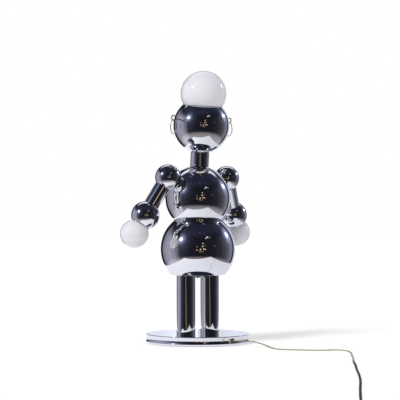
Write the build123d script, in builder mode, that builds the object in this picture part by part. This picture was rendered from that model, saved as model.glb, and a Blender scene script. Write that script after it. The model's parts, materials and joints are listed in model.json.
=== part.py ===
from build123d import *
import math
import os

# A desk lamp in the shape of a small robot, built from chromed balls and tubes.
# A globe lamp is the top of its head and a smaller one is each of its hands.
# Millimetres, +Z up. The figure faces -Y and its left side is +X. The origin is
# at the centre of the base's underside. Threads are left plain.

os.makedirs("parts", exist_ok=True)

# ---- Sheet, pipe and fasteners that are the same all over the lamp ----
ball_wall = 1.0  # spun steel of the hip, chest, head and hand balls
tube_wall = 1.5  # drawn steel of the leg, neck and arm tubes
pipe_radius = 4.8  # threaded lamp pipe that clamps the pieces together
pipe_bore = 3.3
pipe_tail = 2.5  # pipe that shows past its nut
nut_flats = 16.0
nut_height = 4.5
washer_radius = 13.0
washer_height = 1.5
spring_radius = 9.0  # dished spring washers, in pairs
spring_sheet = 0.6
spring_dish = 0.5

# ---- Fits ----
pipe_fit = 0.1  # round a pipe that is clamped in its hole
turning_fit = 0.05  # round a pipe that turns in its hole
seat_gap = 0.3  # between a ball and the seat that it slides on
key_fit = 0.15  # each side of the key in the head's slot

# ---- Base ----
base_radius = 142.5  # over the rolled lip at its foot
base_height = 25.4
base_wall = 1.5
base_edge = 2.0
lip_reach = 1.5  # the wall sweeps out this far to the lip
lip_height = 6.0
lip_edge = 1.2
sweep_height = 9.0
foot_gap = 0.8  # the shell's lower edge stays clear of the table
felt_height = 1.5
felt_margin = 2.5
cover_height = 1.5
cover_fit = 0.2
weight_radius = 118.0
weight_height = 11.0
weight_edge = 2.0
cord_hole_height = 14.6
cord_hole_radius = 4.0
bushing_flange = 5.2
bushing_flange_height = 0.9

# ---- Legs ----
leg_radius = 25.4
leg_length = 158.7
leg_spacing = 85.6
check_ring_height = 2.5

# ---- Hip and chest ----
hip_radius = 101.6
hip_flat_radius = 73.3
hip_edge = 2.5
waist_radius = 65.1
chest_radius = 88.9
chest_opening = 60.0
strap_width = 24.0
strap_height = 3.0
strap_rise = 2.0

# ---- Neck ----
neck_radius = 25.4
neck_length = 39.2
neck_lean = 4.2  # degrees back from upright
neck_seat_radius = 20.0
neck_seat_depth = 3.9  # from the ball's inside to the flat that the nut is on

# ---- Head ----
head_radius = 76.2
head_lean = 6.0
rim_bead = 0.8
saddle_radius = 18.0
saddle_depth = 4.7  # from the ball's inside to the flat that the springs are on
key_width = 14.0
key_length = 12.0
key_end_gap = 0.3
slot_tilt = 6.0  # degrees that the slot lets the head tilt each way from the neck
nipple_gap = 7.3  # from the neck pipe's top up to the nipple that holds the socket
bridge_width = 24.0
bridge_height = 2.0

# ---- Ears ----
ear_rise = 9.5  # degrees above the head's mid-plane
eye_wire = 1.4
eye_radius = 7.1
eye_standoff = 25.3  # ring's centre beyond the ball
eye_arc = 338.0
eye_tail = 6.0  # threaded shank inside the ball
ear_nut_flats = 7.0
ear_nut_height = 2.4
hoop_wire = 1.1
hoop_radius = 18.9
hoop_twist = 16.0
hoop_gap = 0.3

# ---- Lamps and lampholders ----
globe_wall = 0.8
globe_neck = 14.5
cap_radius = 13.1
cap_length = 25.0
cap_collar = 1.2
cap_cone = 5.0
cap_button = 4.5
holder_radius = 17.0
holder_bore = 13.4
holder_edge = 1.0
head_globe_radius = 62.3
head_globe_gap = 1.95  # from the glass to the edge that it leaves in the head ball
head_globe_length = 176.0
head_globe_blend = 30.0
head_holder_foot = 17.8  # from the lamp's contact down to the holder's underside
head_holder_hub = 13.0
head_holder_hub_height = 8.0
holder_thread = 7.0
hand_globe_radius = 38.3
hand_globe_gap = 3.2
hand_globe_length = 113.0
hand_globe_blend = 12.0
hand_holder_foot = 10.5
hand_holder_gap = 2.1  # from the hand's nut to the holder
hand_holder_hub = 12.0
hand_holder_hub_height = 5.0
hand_holder_thread = 4.0

# ---- Arms ----
shoulder_radius = 34.925
shoulder_wall = 3.0
shoulder_hole = 15.0
shoulder_rise = 27.6  # degrees that the shoulder axis points above level
shoulder_seat_radius = 22.0
shoulder_seat_depth = 7.9
shoulder_thread = 7.0  # pipe inside the shoulder ball
arm_radius = 21.0
arm_length = 57.3
arm_swing = 15.0  # degrees that the arms hang forward
hand_radius = 38.1
hand_seat_radius = 11.0
hand_seat_depth = 2.5

# ---- Cord and plug ----
cord_radius = 2.7
cord_start = 4.0  # inside the base's lip
cord_lead = 15.0  # straight stretch outside the lip
coil_radius = 30.0
coil_width = 19.2
coil_height = 5.6
coil_centre = (690.0, 1212.5)
plug_length = 30.0
plug_width = 22.0
plug_height = 13.0
plug_edge = 3.0
plug_tail_width = 11.0
plug_tail_height = 10.4
blade_length = 16.0
blade_width = 6.3
blade_sheet = 1.5
blade_spacing = 12.7


def seat_height(ball_radius, ring_radius):
    """How far a ball's centre is from the plane of a round edge that the ball sits on."""
    return math.sqrt(ball_radius**2 - ring_radius**2)


def mouth_height(ball_radius, globe_radius, centre_distance):
    """How far a ball's centre is from the plane in which a globe's outline cuts the ball."""
    squares = centre_distance**2 + ball_radius**2 - globe_radius**2
    return squares / (2 * centre_distance)


def bulge(curve_radius, half_chord):
    """How far a round stretch stands out from the straight line between its ends."""
    return curve_radius - seat_height(curve_radius, half_chord)


def profile_plane(origin, along, across):
    """A sketch plane through an axis: its X is the radius and its Y runs along the axis."""
    return Plane(origin=origin, x_dir=across, z_dir=across.cross(along))


# ---- Where the pieces stand ----
wall_radius = base_radius - lip_reach
wall_bore = wall_radius - base_wall
sweep_top = lip_height + sweep_height
sweep_radius = (sweep_height**2 + lip_reach**2) / (2 * lip_reach)
leg_places = [(leg_spacing / 2, 0), (-leg_spacing / 2, 0)]
pipe_hole = pipe_radius + pipe_fit
weight_bottom = base_height - base_wall - weight_height
hip_bottom = base_height + leg_length
hip_height = hip_bottom + seat_height(hip_radius, hip_flat_radius)
waist_height = hip_height + seat_height(hip_radius, waist_radius)
chest_height = waist_height + seat_height(chest_radius, waist_radius)
chest_centre = Vector(0, 0, chest_height)
chest_bore = chest_radius - ball_wall
neck_seat_flat = chest_bore - neck_seat_depth
shoulder_seat_flat = chest_bore - shoulder_seat_depth
strap_bottom = chest_height - seat_height(chest_radius, chest_opening) + strap_rise
strap_top = strap_bottom + strap_height

upward = Vector(0, 0, 1)
right_to_left = Vector(1, 0, 0)
hip_profile = profile_plane(Vector(0, 0, hip_height), upward, right_to_left)
chest_profile = profile_plane(chest_centre, upward, right_to_left)
neck_up = upward.rotate(Axis.X, -neck_lean)
head_up = upward.rotate(Axis.X, -head_lean)
neck_tube_bore = neck_radius - tube_wall
neck_start = seat_height(chest_radius, neck_tube_bore)
neck_span = neck_start + neck_length + seat_gap + seat_height(head_radius, neck_tube_bore)
head_centre = chest_centre + neck_up * neck_span
head_bore = head_radius - ball_wall
saddle_flat = head_bore - saddle_depth
neck_plane = Plane(origin=chest_centre, x_dir=right_to_left, z_dir=neck_up)
head_plane = Plane(origin=head_centre, x_dir=right_to_left, z_dir=head_up)
head_profile = profile_plane(head_centre, head_up, right_to_left)
head_axis = Axis(head_centre, head_up)

# Inside the head everything stands on the neck pipe's end, and the globe's place
# says how wide the ball's mouth is.
spring_stack = 2 * (spring_dish + spring_sheet)
nipple_bottom = spring_stack + nut_height + pipe_tail + nipple_gap - saddle_flat
bridge_bottom = nipple_bottom + pipe_tail + nut_height
head_holder_bottom = bridge_bottom + bridge_height
head_cap_tip = head_holder_bottom + head_holder_foot
head_globe_rise = head_cap_tip + head_globe_length - head_globe_radius
head_rim = mouth_height(head_radius, head_globe_radius + head_globe_gap, head_globe_rise)
head_opening = seat_height(head_radius, head_rim)

shoulder_out = Vector(1, 0, 0).rotate(Axis.Y, -shoulder_rise)
arm_hanging = Vector(0, 0, -1).rotate(Axis.Y, -shoulder_rise)
arm_down = arm_hanging.rotate(Axis(chest_centre, shoulder_out), -arm_swing)
shoulder_span = seat_height(chest_radius, shoulder_hole) + seat_gap
shoulder_span = shoulder_span + seat_height(shoulder_radius, shoulder_hole)
shoulder_centre = chest_centre + shoulder_out * shoulder_span
arm_bore = arm_radius - tube_wall
arm_start = seat_height(shoulder_radius, arm_bore)
hand_reach = arm_start + arm_length + seat_height(hand_radius, arm_bore)
hand_centre = shoulder_centre + arm_down * hand_reach
hand_bore = hand_radius - ball_wall
hand_seat_flat = hand_bore - hand_seat_depth
hand_holder_bottom = nut_height + hand_holder_gap - hand_seat_flat
hand_cap_tip = hand_holder_bottom + hand_holder_foot
hand_globe_reach = hand_cap_tip + hand_globe_length - hand_globe_radius
hand_rim = mouth_height(hand_radius, hand_globe_radius + hand_globe_gap, hand_globe_reach)
hand_opening = seat_height(hand_radius, hand_rim)
shoulder_plane = Plane(origin=chest_centre, z_dir=shoulder_out)
shoulder_profile = profile_plane(chest_centre, shoulder_out, arm_down)
shoulder_axis = Axis(chest_centre, shoulder_out)
arm_plane = Plane(origin=shoulder_centre, x_dir=shoulder_out, z_dir=arm_down)
arm_profile = profile_plane(shoulder_centre, arm_down, shoulder_out)
arm_axis = Axis(shoulder_centre, arm_down)
hand_profile = profile_plane(hand_centre, arm_down, shoulder_out)
hand_back_profile = profile_plane(hand_centre, -arm_down, shoulder_out)


# ---- Shapes that come back ----
def ball_section(radius, wall, low, high):
    """Half the section of a spun ball that is cut off flat at two heights from its centre."""
    Circle(radius)
    Circle(radius - wall, mode=Mode.SUBTRACT)
    with Locations((0, low)):
        Rectangle(radius, high - low, align=Align.MIN, mode=Mode.INTERSECT)


def dome_section(dome, flat, reach, bore):
    """Half the section of a washer that is domed to fit inside a ball and flat for a nut."""
    Circle(dome)
    with Locations((bore, flat)):
        Rectangle(reach - bore, dome, align=Align.MIN, mode=Mode.INTERSECT)


def spring_sections(start):
    """Half the sections of two dished spring washers set rim to rim."""
    middle = start + spring_dish + spring_sheet
    with BuildLine() as first:
        Polyline(
            (pipe_hole, start),
            (spring_radius, middle - spring_sheet),
            (spring_radius, middle),
            (pipe_hole, start + spring_sheet),
            close=True,
        )
    make_face(first.edges())
    with BuildLine() as second:
        Polyline(
            (spring_radius, middle),
            (spring_radius, middle + spring_sheet),
            (pipe_hole, middle + spring_dish + spring_sheet),
            (pipe_hole, middle + spring_dish),
            close=True,
        )
    make_face(second.edges())


def pipe(plane, length):
    """A length of lamp pipe that starts on the plane."""
    with BuildSketch(plane) as ring:
        Circle(pipe_radius)
        Circle(pipe_bore, mode=Mode.SUBTRACT)
    extrude(ring.sketch, amount=length)


def nut(plane, bore=pipe_hole, flats=nut_flats, height=nut_height):
    """A hexagon nut that stands on the plane."""
    with BuildSketch(plane) as hexagon:
        RegularPolygon(radius=flats / 2, side_count=6, major_radius=False)
        Circle(bore, mode=Mode.SUBTRACT)
    extrude(hexagon.sketch, amount=height)


def tube(plane, radius, length):
    """A drawn tube that starts on the plane."""
    with BuildSketch(plane) as ring:
        Circle(radius)
        Circle(radius - tube_wall, mode=Mode.SUBTRACT)
    extrude(ring.sketch, amount=length)


# ---- Base ----
# The shell is a spun pan turned over: a flat top, an upright wall and a sweep out
# to the rolled lip that it stands on.
with BuildPart() as base_shell:
    with BuildSketch(profile_plane(Vector(0, 0, 0), upward, right_to_left)) as pan:
        with BuildLine():
            top = Line((0, base_height), (wall_radius - base_edge, base_height))
            edge = CenterArc((wall_radius - base_edge, base_height - base_edge), base_edge, 90, -90)
            wall = Line(edge @ 1, (wall_radius, sweep_top))
            sweep_angle = math.degrees(math.asin(sweep_height / sweep_radius))
            foot_sweep = CenterArc((wall_radius + sweep_radius, sweep_top), sweep_radius, 180, sweep_angle)
            Polyline(
                foot_sweep @ 1,
                (base_radius, foot_gap),
                (wall_bore, foot_gap),
                (wall_bore, base_height - base_wall),
                (0, base_height - base_wall),
                top @ 0,
            )
        make_face()
        fillet(pan.vertices().sort_by(Axis.X)[-2:], lip_edge)
    revolve(axis=Axis.Z)
    with BuildSketch(Plane.XY.offset(base_height)):
        with Locations(*leg_places):
            Circle(pipe_hole)
    extrude(amount=-2 * base_wall, mode=Mode.SUBTRACT)
    with BuildSketch(Plane.XZ.offset(-base_radius)):
        with Locations((0, cord_hole_height)):
            Circle(cord_hole_radius)
    extrude(amount=2 * (base_wall + lip_reach), both=True, mode=Mode.SUBTRACT)

with BuildPart() as base_weight:
    with BuildSketch(Plane.XY.offset(weight_bottom)):
        Circle(weight_radius)
        with Locations(*leg_places):
            Circle(pipe_hole, mode=Mode.SUBTRACT)
    extrude(amount=weight_height)
    chamfer(base_weight.edges().filter_by(GeomType.CIRCLE).sort_by(SortBy.RADIUS)[-2:], weight_edge)

with BuildPart() as base_cover:
    with BuildSketch(Plane.XY.offset(felt_height)):
        Circle(wall_bore - cover_fit)
    extrude(amount=cover_height)

with BuildPart() as base_felt:
    with BuildSketch():
        Circle(wall_bore - felt_margin)
    extrude(amount=felt_height)

# The bushing snaps into the wall of the base, with a flange on each side.
bushing_profile = profile_plane(Vector(0, 0, cord_hole_height), Vector(0, 1, 0), right_to_left)
bushing_inside = seat_height(wall_bore, bushing_flange)
bushing_outside = wall_radius + bulge(sweep_radius, sweep_top - cord_hole_height + bushing_flange)
with BuildPart() as cord_bushing:
    with BuildSketch(bushing_profile):
        with Locations((0, bushing_inside)):
            Rectangle(cord_hole_radius, bushing_outside - bushing_inside, align=Align.MIN)
        with Locations((0, bushing_outside), (0, bushing_inside - bushing_flange_height)):
            Rectangle(bushing_flange, bushing_flange_height, align=Align.MIN)
        Rectangle(cord_radius, 2 * base_radius, align=Align.MIN, mode=Mode.SUBTRACT)
    revolve(axis=Axis((0, 0, cord_hole_height), (0, 1, 0)))

# ---- Legs ----
with BuildPart() as leg_left:
    tube(Plane(origin=(*leg_places[0], base_height)), leg_radius, leg_length)

with BuildPart() as leg_right:
    tube(Plane(origin=(*leg_places[1], base_height)), leg_radius, leg_length)

leg_pipe_bottom = weight_bottom - washer_height - nut_height - pipe_tail
leg_pipe_top = hip_bottom + ball_wall + washer_height + nut_height + pipe_tail
with BuildPart() as leg_pipes:
    for place in leg_places:
        pipe(Plane(origin=(*place, leg_pipe_bottom)), leg_pipe_top - leg_pipe_bottom)

with BuildPart() as leg_check_rings:
    for height in (base_height, hip_bottom - check_ring_height):
        with BuildSketch(Plane.XY.offset(height)):
            with Locations(*leg_places):
                Circle(leg_radius - tube_wall - pipe_fit)
                Circle(pipe_hole, mode=Mode.SUBTRACT)
        extrude(amount=check_ring_height)

# ---- Hip ----
with BuildPart() as hip_shell:
    with BuildSketch(hip_profile) as hip_section:
        ball_section(hip_radius, ball_wall, hip_bottom - hip_height, hip_radius)
        with Locations((0, hip_bottom - hip_height)):
            Rectangle(hip_flat_radius, ball_wall, align=Align.MIN)
        with Locations((0, chest_height - hip_height)):
            Circle(chest_radius, mode=Mode.SUBTRACT)
        flat_corner = (hip_flat_radius, hip_bottom - hip_height, 0)
        fillet(hip_section.vertices().sort_by_distance(flat_corner)[0], hip_edge)
    revolve(axis=Axis.Z)
    with BuildSketch(Plane.XY.offset(hip_bottom)):
        with Locations(*leg_places, (0, 0)):
            Circle(pipe_hole)
    extrude(amount=2 * ball_wall, mode=Mode.SUBTRACT)

waist_pipe_bottom = hip_bottom - washer_height - nut_height - pipe_tail
waist_pipe_top = strap_top + washer_height + nut_height + pipe_tail
with BuildPart() as waist_pipe:
    pipe(Plane.XY.offset(waist_pipe_bottom), waist_pipe_top - waist_pipe_bottom)

# ---- Chest ----
with BuildPart() as chest_shell:
    with BuildSketch(chest_profile):
        ball_section(chest_radius, ball_wall, -seat_height(chest_radius, chest_opening), chest_radius)
    revolve(axis=Axis.Z)
    with BuildSketch(neck_plane):
        Circle(pipe_hole)
    extrude(amount=2 * chest_radius, mode=Mode.SUBTRACT)
    with BuildSketch(shoulder_plane):
        Circle(shoulder_hole)
    left_hole = extrude(amount=2 * chest_radius, mode=Mode.SUBTRACT)
    mirror(left_hole, about=Plane.YZ, mode=Mode.SUBTRACT)

with BuildPart() as chest_strap:
    with BuildSketch(Plane.XY.offset(strap_bottom)):
        Rectangle(2 * chest_radius, strap_width)
        Circle(pipe_hole, mode=Mode.SUBTRACT)
    extrude(amount=strap_height)
    with Locations(chest_centre):
        Sphere(chest_bore, mode=Mode.INTERSECT)

with BuildPart() as shoulder_seat_left:
    with BuildSketch(shoulder_profile):
        dome_section(chest_bore, shoulder_seat_flat, shoulder_seat_radius, pipe_radius + turning_fit)
        with Locations((0, shoulder_span)):
            Circle(shoulder_radius + seat_gap, mode=Mode.SUBTRACT)
    revolve(axis=shoulder_axis)

# ---- Neck ----
with BuildPart() as neck_seat:
    with BuildSketch(profile_plane(chest_centre, neck_up, right_to_left)):
        dome_section(chest_bore, neck_seat_flat, neck_seat_radius, pipe_hole)
    revolve(axis=Axis(chest_centre, neck_up))

neck_pipe_bottom = neck_seat_flat - nut_height - pipe_tail
saddle_top = neck_span - saddle_flat + spring_stack
neck_pipe_top = saddle_top + nut_height + pipe_tail
with BuildPart() as neck_pipe:
    pipe(neck_plane.offset(neck_pipe_bottom), neck_pipe_top - neck_pipe_bottom)

with BuildPart() as neck_tube:
    tube(neck_plane.offset(neck_start), neck_radius, neck_length)

# The nuts and washers of the legs, the waist and the neck are all alike.
with BuildPart() as pipe_nuts:
    for place in leg_places:
        nut(Plane(origin=(*place, weight_bottom - washer_height - nut_height)))
        nut(Plane(origin=(*place, hip_bottom + ball_wall + washer_height)))
    nut(Plane.XY.offset(hip_bottom - washer_height - nut_height))
    nut(Plane.XY.offset(strap_top + washer_height))
    nut(neck_plane.offset(neck_seat_flat - nut_height))
    nut(neck_plane.offset(saddle_top))

with BuildPart() as pipe_washers:
    for height in (weight_bottom - washer_height, hip_bottom + ball_wall):
        with BuildSketch(Plane.XY.offset(height)):
            with Locations(*leg_places):
                Circle(washer_radius)
                Circle(pipe_hole, mode=Mode.SUBTRACT)
        extrude(amount=washer_height)
    for height in (hip_bottom - washer_height, strap_top):
        with BuildSketch(Plane.XY.offset(height)):
            Circle(washer_radius)
            Circle(pipe_hole, mode=Mode.SUBTRACT)
        extrude(amount=washer_height)

# ---- Head swivel ----
# The saddle turns on the neck pipe. Its key stands in the slot of the head ball,
# so the head turns with it and tilts over it.
saddle_plane = Plane(origin=head_centre, x_dir=right_to_left, z_dir=-neck_up)
saddle_profile = profile_plane(head_centre, -neck_up, right_to_left)
saddle_axis = Axis(head_centre, neck_up)
with BuildPart() as head_saddle:
    with BuildSketch(saddle_profile):
        dome_section(head_bore - seat_gap, saddle_flat, saddle_radius, pipe_radius + turning_fit)
    revolve(axis=saddle_axis)
    with BuildSketch(saddle_plane.offset(saddle_flat)):
        Rectangle(key_width, key_length)
        Circle(pipe_radius + turning_fit, mode=Mode.SUBTRACT)
    extrude(amount=head_radius - key_end_gap - saddle_flat)

with BuildPart() as saddle_springs:
    with BuildSketch(profile_plane(chest_centre, neck_up, right_to_left)):
        spring_sections(neck_span - saddle_flat)
    revolve(axis=saddle_axis)

# ---- Head ----
slot_reach = head_radius * math.sin(math.radians(slot_tilt)) + key_length / 2 + key_end_gap
ear_out = {}
ear_out["left"] = right_to_left.rotate(Axis.Y, -ear_rise).rotate(Axis.X, -head_lean)
ear_out["right"] = (-right_to_left).rotate(Axis.Y, ear_rise).rotate(Axis.X, -head_lean)
with BuildPart() as head_shell:
    with BuildSketch(head_profile):
        ball_section(head_radius, ball_wall, -head_radius, head_rim)
        with Locations((head_opening - ball_wall / 2, head_rim)):
            Circle(rim_bead)
    revolve(axis=head_axis)
    with BuildSketch(head_plane):
        Rectangle(key_width + 2 * key_fit, 2 * slot_reach)
    extrude(amount=-2 * head_radius, mode=Mode.SUBTRACT)
    for out in ear_out.values():
        with BuildSketch(Plane(origin=head_centre, z_dir=out)):
            Circle(eye_wire + pipe_fit)
        extrude(amount=2 * head_radius, mode=Mode.SUBTRACT)

with BuildPart(head_plane) as socket_bridge:
    with BuildSketch(head_plane.offset(bridge_bottom)):
        Rectangle(2 * head_radius, bridge_width)
        Circle(pipe_hole, mode=Mode.SUBTRACT)
    extrude(amount=bridge_height)
    Sphere(head_bore, mode=Mode.INTERSECT)

with BuildPart() as socket_nipple:
    pipe(
        head_plane.offset(nipple_bottom),
        bridge_height + nut_height + pipe_tail + holder_thread,
    )
    nut(head_plane.offset(bridge_bottom - nut_height))


def holder_section(bottom, hub_radius, hub_height, tip, thread):
    """Half the section of a lampholder, from its threaded hub to the rim round the lamp's cap."""
    rim = tip + cap_length - cap_collar - seat_gap
    with Locations((0, bottom)):
        Rectangle(hub_radius, hub_height, align=Align.MIN)
    with Locations((0, bottom + hub_height)):
        Rectangle(holder_radius, rim - bottom - hub_height, align=Align.MIN)
    with Locations((0, tip - seat_gap)):
        Rectangle(holder_bore, cap_length + cap_collar, align=Align.MIN, mode=Mode.SUBTRACT)
    with Locations((0, bottom)):
        Rectangle(pipe_hole, thread, align=Align.MIN, mode=Mode.SUBTRACT)


def globe_section(section, radius, rise, blend, neck_end):
    """Half the section of a globe lamp's glass, solid, with its neck blended into the globe."""
    meeting = (globe_neck, rise - seat_height(radius, globe_neck), 0)
    with Locations((0, rise)):
        Circle(radius)
    with Locations((0, neck_end)):
        Rectangle(2 * globe_neck, rise - neck_end, align=(Align.CENTER, Align.MIN))
    with Locations((0, neck_end)):
        Rectangle(radius, 2 * rise + 2 * radius, align=Align.MIN, mode=Mode.INTERSECT)
    fillet(section.vertices().sort_by_distance(meeting)[0], blend)


def cap_section(tip):
    """Half the section of a lamp's screw cap, from its contact button to the collar round the glass."""
    with BuildLine() as outline:
        Polyline(
            (0, tip),
            (cap_button, tip),
            (cap_button, tip + cap_collar),
            (cap_radius, tip + cap_cone),
            (cap_radius, tip + cap_length - cap_collar),
            (globe_neck, tip + cap_length - cap_collar),
            (globe_neck, tip + cap_length),
            (0, tip + cap_length),
            close=True,
        )
    make_face(outline.edges())


with BuildPart() as head_socket:
    with BuildSketch(head_profile):
        holder_section(
            head_holder_bottom, head_holder_hub, head_holder_hub_height, head_cap_tip, holder_thread
        )
    revolve(axis=head_axis)

head_neck_end = head_cap_tip + cap_length
with BuildPart() as head_globe:
    with BuildSketch(head_profile) as glass:
        globe_section(glass, head_globe_radius, head_globe_rise, head_globe_blend, head_neck_end)
    revolve(axis=head_axis)
    neck_end = head_centre + head_up * head_neck_end
    offset(amount=-globe_wall, openings=head_globe.faces().sort_by_distance(neck_end)[0])

with BuildPart() as head_globe_cap:
    with BuildSketch(head_profile):
        cap_section(head_cap_tip)
    revolve(axis=head_axis)

# ---- Ears ----
eyes = {}
hoops = {}
hoop_normal = Vector(1, 0, 0).rotate(Axis.Z, -hoop_twist)
hoop_drop = hoop_radius - eye_wire - hoop_wire - hoop_gap
for side, out in ear_out.items():
    ring_centre = head_centre + out * (head_radius + eye_standoff)
    ring_plane = Plane(origin=ring_centre, x_dir=-out, z_dir=out.cross(head_up))
    if side == "right":
        ring_plane = Plane(origin=ring_centre, x_dir=-out, z_dir=-out.cross(head_up))
    with BuildPart(ring_plane) as eyes[side]:
        Torus(eye_radius, eye_wire, major_angle=eye_arc)
        with BuildSketch(Plane(origin=head_centre, z_dir=out).offset(head_bore - eye_tail)):
            Circle(eye_wire)
        extrude(amount=ball_wall + eye_tail + eye_standoff - eye_radius + eye_wire / 2)
    hoop_centre = ring_centre - head_up * eye_radius - Vector(0, 0, hoop_drop)
    with BuildPart(Plane(origin=hoop_centre, z_dir=hoop_normal)) as hoops[side]:
        Torus(hoop_radius, hoop_wire)

with BuildPart() as ear_nuts:
    for out in ear_out.values():
        nut_seat = seat_height(head_bore, ear_nut_flats / math.sqrt(3))
        nut(
            Plane(origin=head_centre, z_dir=out).offset(nut_seat - ear_nut_height),
            eye_wire + pipe_fit,
            ear_nut_flats,
            ear_nut_height,
        )

# ---- Left arm ----
with BuildPart() as shoulder_ball_left:
    with BuildSketch(arm_profile):
        ball_section(shoulder_radius, shoulder_wall, -shoulder_radius, shoulder_radius)
    revolve(axis=arm_axis)
    with BuildSketch(arm_plane):
        Circle(pipe_hole)
    extrude(amount=2 * shoulder_radius, mode=Mode.SUBTRACT)
    with BuildSketch(shoulder_plane):
        Circle(pipe_hole)
    extrude(amount=shoulder_span, mode=Mode.SUBTRACT)

shoulder_pipe_start = shoulder_seat_flat - spring_stack - nut_height - pipe_tail
shoulder_pipe_end = shoulder_span - shoulder_radius + shoulder_thread
with BuildPart() as shoulder_pipe_left:
    pipe(shoulder_plane.offset(shoulder_pipe_start), shoulder_pipe_end - shoulder_pipe_start)

with BuildPart() as shoulder_springs_left:
    with BuildSketch(shoulder_profile):
        spring_sections(shoulder_seat_flat - spring_stack)
    revolve(axis=shoulder_axis)
    nut(shoulder_plane.offset(shoulder_seat_flat - spring_stack - nut_height))

with BuildPart() as arm_tube_left:
    tube(arm_plane.offset(arm_start), arm_radius, arm_length)

arm_pipe_start = shoulder_radius - shoulder_thread
arm_pipe_end = hand_reach + hand_holder_bottom + hand_holder_thread
with BuildPart() as arm_pipe_left:
    pipe(arm_plane.offset(arm_pipe_start), arm_pipe_end - arm_pipe_start)

with BuildPart() as hand_ball_left:
    with BuildSketch(hand_profile):
        ball_section(hand_radius, ball_wall, -hand_radius, hand_rim)
        with Locations((hand_opening - ball_wall / 2, hand_rim)):
            Circle(rim_bead)
    revolve(axis=arm_axis)
    with BuildSketch(arm_plane.offset(hand_reach)):
        Circle(pipe_hole)
    extrude(amount=-2 * hand_radius, mode=Mode.SUBTRACT)

with BuildPart() as hand_seat_left:
    with BuildSketch(hand_back_profile):
        dome_section(hand_bore, hand_seat_flat, hand_seat_radius, pipe_hole)
    revolve(axis=arm_axis)
    nut(arm_plane.offset(hand_reach - hand_seat_flat))

with BuildPart() as hand_socket_left:
    with BuildSketch(hand_profile):
        holder_section(
            hand_holder_bottom,
            hand_holder_hub,
            hand_holder_hub_height,
            hand_cap_tip,
            hand_holder_thread,
        )
    revolve(axis=arm_axis)

hand_neck_end = hand_cap_tip + cap_length
with BuildPart() as hand_globe_left:
    with BuildSketch(hand_profile) as glass:
        globe_section(glass, hand_globe_radius, hand_globe_reach, hand_globe_blend, hand_neck_end)
    revolve(axis=arm_axis)
    neck_end = hand_centre + arm_down * hand_neck_end
    offset(amount=-globe_wall, openings=hand_globe_left.faces().sort_by_distance(neck_end)[0])

with BuildPart() as hand_globe_cap_left:
    with BuildSketch(hand_profile):
        cap_section(hand_cap_tip)
    revolve(axis=arm_axis)

# ---- Cord, coil and plug ----
# The cord leaves the bushing, drops to the table and wanders off over it.
cord_route = [
    (0, base_radius - cord_start, cord_hole_height),
    (0, base_radius + cord_lead, cord_hole_height),
    (-12, 176, 14.6),
    (-30, 188, 13.0),
    (-41, 205, 8.5),
    (-40, 232, 4.0),
    (-26, 264, cord_radius),
    (-14, 296, cord_radius),
    (-25, 326, cord_radius),
    (-46, 350, cord_radius),
    (-62, 378, cord_radius),
    (-84, 398, cord_radius),
    (-108, 401, cord_radius),
    (-121, 419, cord_radius),
    (-118, 446, cord_radius),
    (-95, 480, cord_radius),
    (-50, 524, cord_radius),
    (10, 586, cord_radius),
    (68, 640, cord_radius),
    (122, 698, cord_radius),
    (184, 758, cord_radius),
    (242, 818, cord_radius),
    (312, 888, cord_radius),
    (382, 954, cord_radius),
    (448, 1014, cord_radius),
    (510, 1072, cord_radius),
    (568, 1126, cord_radius),
    (614, 1172, cord_radius),
    (654, 1216, cord_radius),
]
corner_radii = []
for before, here, after in zip(cord_route, cord_route[1:], cord_route[2:]):
    run_in = Vector(*here) - Vector(*before)
    run_out = Vector(*after) - Vector(*here)
    half_turn = math.radians(run_in.get_angle(run_out)) / 2
    corner_radii.append(0.45 * min(run_in.length, run_out.length) / math.tan(half_turn))
print("cord corner radii:", [round(radius, 1) for radius in corner_radii])

with BuildPart() as cord:
    with BuildLine():
        cord_line = FilletPolyline(*cord_route, radius=corner_radii)
    with BuildSketch(Plane(origin=cord_line @ 0, z_dir=cord_line % 0)):
        Circle(cord_radius)
    sweep()
cord_section = math.pi * cord_radius**2
print("cord tube length:", round(cord_line.length, 1))
print("cord volume over section times length:", cord.part.volume / (cord_section * cord_line.length))

coil_profile = profile_plane(Vector(*coil_centre, 0), upward, right_to_left)
with BuildPart() as cord_coil:
    with BuildSketch(coil_profile):
        with Locations((coil_radius, coil_height / 2)):
            RectangleRounded(coil_width, coil_height, coil_height / 3)
    revolve(axis=Axis((*coil_centre, 0), (0, 0, 1)))

# The plug lies where the cord leaves the ring, pointing on along it.
coil_reach = coil_radius + coil_width / 2
plug_side = coil_radius - plug_tail_width / 2
plug_tail = seat_height(coil_reach, plug_side) + seat_gap
plug_out = Vector(0.656, 0.755, 0).normalized()
plug_aside = plug_out.cross(upward)
plug_centre = Vector(*coil_centre, plug_height / 2) - plug_aside * coil_radius
plug_centre = plug_centre + plug_out * (plug_tail + plug_length / 2)
plug_plane = Plane(origin=plug_centre, x_dir=plug_aside, z_dir=plug_out)
with BuildPart() as plug_body:
    with BuildSketch(plug_plane.offset(-plug_length / 2)):
        RectangleRounded(plug_tail_width, plug_tail_height, plug_edge)
    with BuildSketch(plug_plane.offset(plug_length / 2)):
        RectangleRounded(plug_width, plug_height, plug_edge)
    loft()

with BuildPart() as plug_blades:
    with BuildSketch(plug_plane.offset(plug_length / 2)):
        with Locations((-blade_spacing / 2, 0), (blade_spacing / 2, 0)):
            Rectangle(blade_sheet, blade_width)
    extrude(amount=blade_length)

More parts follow.
